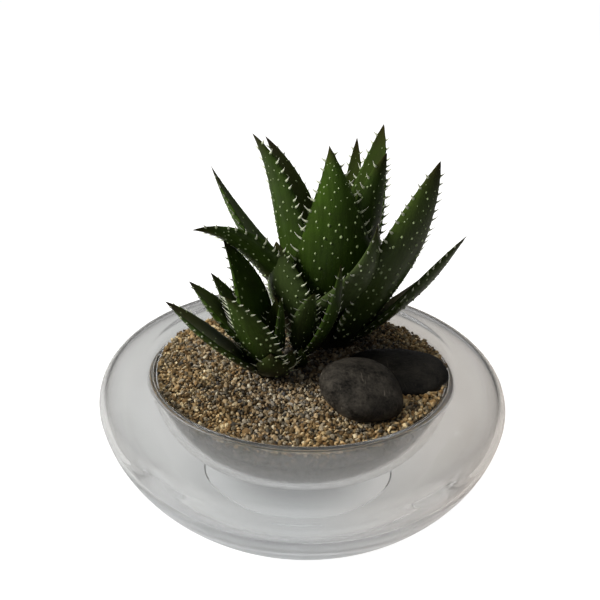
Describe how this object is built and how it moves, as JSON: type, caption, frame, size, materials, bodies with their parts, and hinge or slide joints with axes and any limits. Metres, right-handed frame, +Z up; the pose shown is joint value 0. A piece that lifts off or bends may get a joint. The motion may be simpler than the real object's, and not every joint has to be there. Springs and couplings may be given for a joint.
{
  "type": "potted spider aloe",
  "caption": "Small spiny succulent with pale-toothed, dotted green leaves, growing in a low double-walled clear glass bowl filled with potting mix, fine gravel and flat river pebbles.",
  "frame": {"origin": "centre of the bowl's underside, on the surface that it stands on", "axes": "+Z up, +X to the right and +Y away from the viewer when the two pebbles are at the front right"},
  "size_m": [0.2, 0.2, 0.1795],
  "materials": {
    "clear_glass": "clear blown glass with a faint grey cast, smooth and glossy",
    "potting_mix": "dark brown fibrous potting mix, matte",
    "gravel": "fine mixed gravel, tan, brown, grey and white grains, dry",
    "grey_stone": "worn grey river pebble, matte with fine scratches",
    "dark_stone": "dark grey river pebble, matte and lightly pitted",
    "leaf": "waxy dark green leaf skin with white teeth and dots, satin"
  },
  "bodies": {
    "root": {"glass_bowl": "clear_glass", "potting_mix": "potting_mix", "gravel": "gravel", "pebble_front": "grey_stone", "pebble_back": "dark_stone", "aloe_main": "leaf", "aloe_left_offset": "leaf", "aloe_small_offset": "leaf"}
  },
  "joints": []
}
